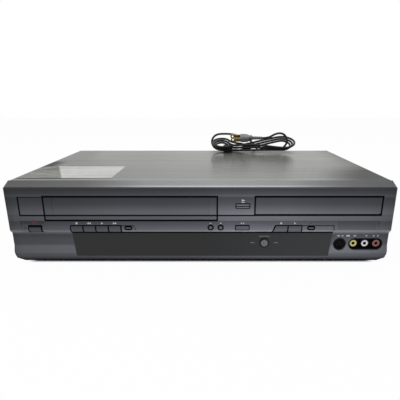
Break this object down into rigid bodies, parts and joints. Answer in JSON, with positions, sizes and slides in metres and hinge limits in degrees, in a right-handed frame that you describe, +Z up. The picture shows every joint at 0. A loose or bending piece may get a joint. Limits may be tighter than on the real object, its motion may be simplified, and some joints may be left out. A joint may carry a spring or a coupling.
{
  "type": "video cassette and disc recorder",
  "caption": "Slim set-top recorder with a cassette door, a sliding disc tray, push keys, front and rear sockets, steel cover and a bundled mains cord.",
  "frame": {"origin": "middle of the footprint at the table, under the feet", "axes": "+X to the right seen from the front, +Y from the front to the back, +Z up"},
  "size_m": [0.435, 0.2844, 0.1326],
  "materials": {
    "bezel_plastic": "painted metallic blue-grey, satin",
    "key_plastic": "painted metallic blue-grey, satin",
    "dark_key": "dark, glossy",
    "smoked_window": "smoked, glossy",
    "black_plastic": "black, matt",
    "yellow_plastic": "moulded",
    "white_plastic": "moulded",
    "red_plastic": "moulded",
    "lamp": "clear red, unlit",
    "cover_paint": "metallic grey, fine brushed grain, satin",
    "bare_steel": "zinc plated sheet",
    "plated_metal": "nickel plated",
    "drum_metal": "turned",
    "circuit_board": "lacquered laminate",
    "foot_rubber": "matt",
    "cord_rubber": "smooth, matt",
    "plug_brass": "plated, worn"
  },
  "bodies": {
    "chassis": {"front_bezel": "bezel_plastic", "display_window": "smoked_window", "standby_lamp": "lamp", "front_board": "circuit_board", "s_video_socket": "black_plastic", "front_jack_block": "black_plastic", "jack_shells": "plated_metal", "video_insulator": "yellow_plastic", "audio_left_insulator": "white_plastic", "audio_right_insulator": "red_plastic", "top_cover": "cover_paint", "cover_screws": "plated_metal", "base_chassis": "bare_steel", "feet": "foot_rubber", "rear_panel": "bare_steel", "rear_jack_block": "black_plastic", "tuner_can": "bare_steel", "aerial_sockets": "plated_metal", "fan_frame": "black_plastic", "cord_relief": "cord_rubber", "deck_plate": "bare_steel", "loading_frame": "bare_steel", "drum_base": "drum_metal", "drive_frame": "black_plastic", "clamp_bridge": "bare_steel", "main_board": "circuit_board", "power_board": "circuit_board", "mains_cord": "cord_rubber", "cord_hank": "cord_rubber", "plug_lead": "cord_rubber", "mains_plug": "cord_rubber", "plug_blades": "plug_brass"},
    "power_button_body": {"power_button": "key_plastic"},
    "tape_stop_key_body": {"tape_stop_key": "key_plastic"},
    "tape_rewind_key_body": {"tape_rewind_key": "key_plastic"},
    "tape_play_key_body": {"tape_play_key": "key_plastic"},
    "tape_forward_key_body": {"tape_forward_key": "key_plastic"},
    "tape_record_button_body": {"tape_record_button": "key_plastic"},
    "channel_down_button_body": {"channel_down_button": "key_plastic"},
    "channel_up_button_body": {"channel_up_button": "key_plastic"},
    "dubbing_button_body": {"dubbing_button": "key_plastic"},
    "tray_button_body": {"tray_button": "key_plastic"},
    "disc_stop_key_body": {"disc_stop_key": "key_plastic"},
    "disc_play_key_body": {"disc_play_key": "key_plastic"},
    "disc_record_button_body": {"disc_record_button": "key_plastic"},
    "input_button_body": {"input_button": "dark_key"},
    "cassette_door_body": {"cassette_door": "bezel_plastic"},
    "disc_tray_body": {"disc_tray": "black_plastic", "tray_front": "bezel_plastic"},
    "fan_rotor_body": {"fan_rotor": "black_plastic"},
    "holder_slider_body": {"holder_slider": "bare_steel"},
    "cassette_holder_body": {"cassette_holder": "bare_steel"},
    "head_drum_body": {"head_drum": "drum_metal"},
    "supply_reel_body": {"supply_reel": "black_plastic"},
    "takeup_reel_body": {"takeup_reel": "black_plastic"},
    "capstan_body": {"capstan": "drum_metal"},
    "traverse_body": {"traverse": "bare_steel"},
    "turntable_body": {"turntable": "black_plastic"},
    "pickup_body": {"pickup": "black_plastic"},
    "clamp_disc_body": {"clamp_disc": "white_plastic"}
  },
  "joints": [
    {"name": "power_button_press", "type": "slide", "parent": "chassis", "child": "power_button_body", "axis": [0, 1, 0], "range_m": [0, 0.0007], "stiffness_N_per_m": 1500, "springref_m": -0.0004},
    {"name": "tape_stop_key_press", "type": "slide", "parent": "chassis", "child": "tape_stop_key_body", "axis": [0, 1, 0], "range_m": [0, 0.0007], "stiffness_N_per_m": 1500, "springref_m": -0.0004},
    {"name": "tape_rewind_key_press", "type": "slide", "parent": "chassis", "child": "tape_rewind_key_body", "axis": [0, 1, 0], "range_m": [0, 0.0007], "stiffness_N_per_m": 1500, "springref_m": -0.0004},
    {"name": "tape_play_key_press", "type": "slide", "parent": "chassis", "child": "tape_play_key_body", "axis": [0, 1, 0], "range_m": [0, 0.0007], "stiffness_N_per_m": 1500, "springref_m": -0.0004},
    {"name": "tape_forward_key_press", "type": "slide", "parent": "chassis", "child": "tape_forward_key_body", "axis": [0, 1, 0], "range_m": [0, 0.0007], "stiffness_N_per_m": 1500, "springref_m": -0.0004},
    {"name": "tape_record_button_press", "type": "slide", "parent": "chassis", "child": "tape_record_button_body", "axis": [0, 1, 0], "range_m": [0, 0.0007], "stiffness_N_per_m": 1500, "springref_m": -0.0004},
    {"name": "channel_down_button_press", "type": "slide", "parent": "chassis", "child": "channel_down_button_body", "axis": [0, 1, 0], "range_m": [0, 0.0007], "stiffness_N_per_m": 1500, "springref_m": -0.0004},
    {"name": "channel_up_button_press", "type": "slide", "parent": "chassis", "child": "channel_up_button_body", "axis": [0, 1, 0], "range_m": [0, 0.0007], "stiffness_N_per_m": 1500, "springref_m": -0.0004},
    {"name": "dubbing_button_press", "type": "slide", "parent": "chassis", "child": "dubbing_button_body", "axis": [0, 1, 0], "range_m": [0, 0.0007], "stiffness_N_per_m": 1500, "springref_m": -0.0004},
    {"name": "tray_button_press", "type": "slide", "parent": "chassis", "child": "tray_button_body", "axis": [0, 1, 0], "range_m": [0, 0.0007], "stiffness_N_per_m": 1500, "springref_m": -0.0004},
    {"name": "disc_stop_key_press", "type": "slide", "parent": "chassis", "child": "disc_stop_key_body", "axis": [0, 1, 0], "range_m": [0, 0.0007], "stiffness_N_per_m": 1500, "springref_m": -0.0004},
    {"name": "disc_play_key_press", "type": "slide", "parent": "chassis", "child": "disc_play_key_body", "axis": [0, 1, 0], "range_m": [0, 0.0007], "stiffness_N_per_m": 1500, "springref_m": -0.0004},
    {"name": "disc_record_button_press", "type": "slide", "parent": "chassis", "child": "disc_record_button_body", "axis": [0, 1, 0], "range_m": [0, 0.0007], "stiffness_N_per_m": 1500, "springref_m": -0.0004},
    {"name": "input_button_press", "type": "slide", "parent": "chassis", "child": "input_button_body", "axis": [0, 1, 0], "range_m": [0, 0.0007], "stiffness_N_per_m": 1500, "springref_m": -0.0004},
    {"name": "cassette_door_hinge", "type": "hinge", "parent": "chassis", "child": "cassette_door_body", "pos_m": [-0.07815, -0.1139, 0.0872], "axis": [1, 0, 0], "range_deg": [0, 85], "stiffness_Nm_per_rad": 0.012, "springref_deg": -20.05},
    {"name": "disc_tray_slide", "type": "slide", "parent": "chassis", "child": "disc_tray_body", "axis": [0, -1, 0], "range_m": [0, 0.14]},
    {"name": "fan_spin", "type": "hinge", "parent": "chassis", "child": "fan_rotor_body", "pos_m": [0.038, 0.106, 0.062], "axis": [0, 1, 0], "continuous": true},
    {"name": "holder_slide", "type": "slide", "parent": "chassis", "child": "holder_slider_body", "axis": [0, 1, 0], "range_m": [0, 0.022]},
    {"name": "holder_lower", "type": "slide", "parent": "holder_slider_body", "child": "cassette_holder_body", "axis": [0, 0, -1], "range_m": [0, 0.019]},
    {"name": "head_drum_spin", "type": "hinge", "parent": "chassis", "child": "head_drum_body", "pos_m": [-0.07815, 0.0565, 0.0315], "axis": [0, -0.0872, 0.9962], "continuous": true},
    {"name": "supply_reel_spin", "type": "hinge", "parent": "chassis", "child": "supply_reel_body", "pos_m": [-0.1244, -0.0295, 0.04], "axis": [0, 0, 1], "continuous": true},
    {"name": "takeup_reel_spin", "type": "hinge", "parent": "chassis", "child": "takeup_reel_body", "pos_m": [-0.0319, -0.0295, 0.04], "axis": [0, 0, 1], "continuous": true},
    {"name": "capstan_spin", "type": "hinge", "parent": "chassis", "child": "capstan_body", "pos_m": [-0.01615, 0.0385, 0.04], "axis": [0, 0, 1], "continuous": true},
    {"name": "traverse_lift", "type": "hinge", "parent": "chassis", "child": "traverse_body", "pos_m": [0.1321, 0.0355, 0.0676], "axis": [-1, 0, 0], "range_deg": [0, 6.3]},
    {"name": "turntable_spin", "type": "hinge", "parent": "traverse_body", "child": "turntable_body", "pos_m": [0.1321, -0.04649, 0.06298], "axis": [0, -0.1097, 0.994], "continuous": true},
    {"name": "pickup_slide", "type": "slide", "parent": "traverse_body", "child": "pickup_body", "axis": [0, 0.994, 0.1097], "range_m": [0, 0.034]},
    {"name": "clamp_disc_spin", "type": "hinge", "parent": "chassis", "child": "clamp_disc_body", "pos_m": [0.1321, -0.0465, 0.08], "axis": [0, 0, 1], "continuous": true}
  ]
}
